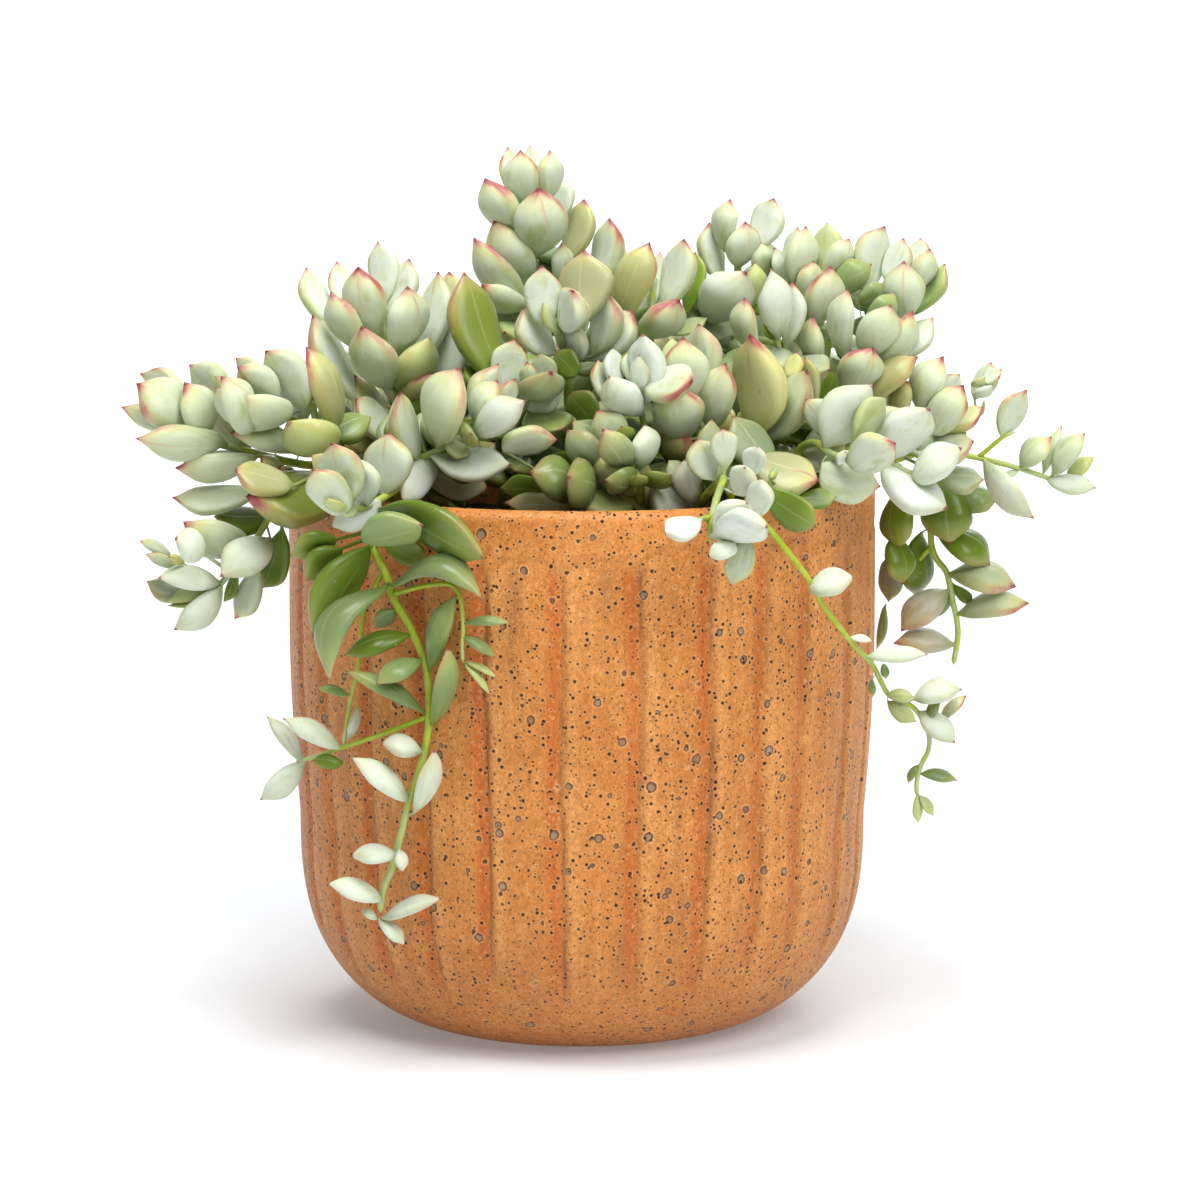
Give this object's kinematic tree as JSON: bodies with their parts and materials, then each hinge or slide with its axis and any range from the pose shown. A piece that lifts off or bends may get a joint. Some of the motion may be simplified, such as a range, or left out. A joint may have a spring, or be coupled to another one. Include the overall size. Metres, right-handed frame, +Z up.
{
  "type": "potted cotyledon",
  "caption": "Trailing cotyledon succulent with plump frosted, red-tipped leaves, growing over the rim of a round ribbed stoneware pot.",
  "frame": {"origin": "middle of the pot's flat underside", "axes": "+Z up; -Y is the front of the picture, +X the viewer's right"},
  "size_m": [0.2274, 0.1999, 0.2087],
  "materials": {
    "pot": "satin",
    "soil": "matte",
    "foliage": "satin"
  },
  "bodies": {
    "root": {"amber": "foliage", "back_1": "foliage", "back_10": "foliage", "back_11": "foliage", "back_12": "foliage", "back_13": "foliage", "back_14": "foliage", "back_15": "foliage", "back_16": "foliage", "back_2": "foliage", "back_3": "foliage", "back_4": "foliage", "back_5": "foliage", "back_6": "foliage", "back_7": "foliage", "back_8": "foliage", "back_9": "foliage", "back_middle": "foliage", "bud_middle": "foliage", "buds": "foliage", "centre": "foliage", "centre_right": "foliage", "crown_left": "foliage", "crown_middle": "foliage", "front_left": "foliage", "front_right": "foliage", "inner_left": "foliage", "left_arm": "foliage", "left_crown": "foliage", "left_lower": "foliage", "left_shoulder": "foliage", "mid_left": "foliage", "pocket_front": "foliage", "pocket_right": "foliage", "pot": "pot", "right_arm": "foliage", "right_back": "foliage", "right_crown": "foliage", "right_far": "foliage", "right_front": "foliage", "right_hanging": "foliage", "right_middle": "foliage", "right_top": "foliage", "rim_right": "foliage", "soil": "soil", "spike": "foliage", "strand_left": "foliage", "strand_right": "foliage", "trail_1": "foliage", "trail_2": "foliage", "trail_3": "foliage"}
  },
  "joints": []
}
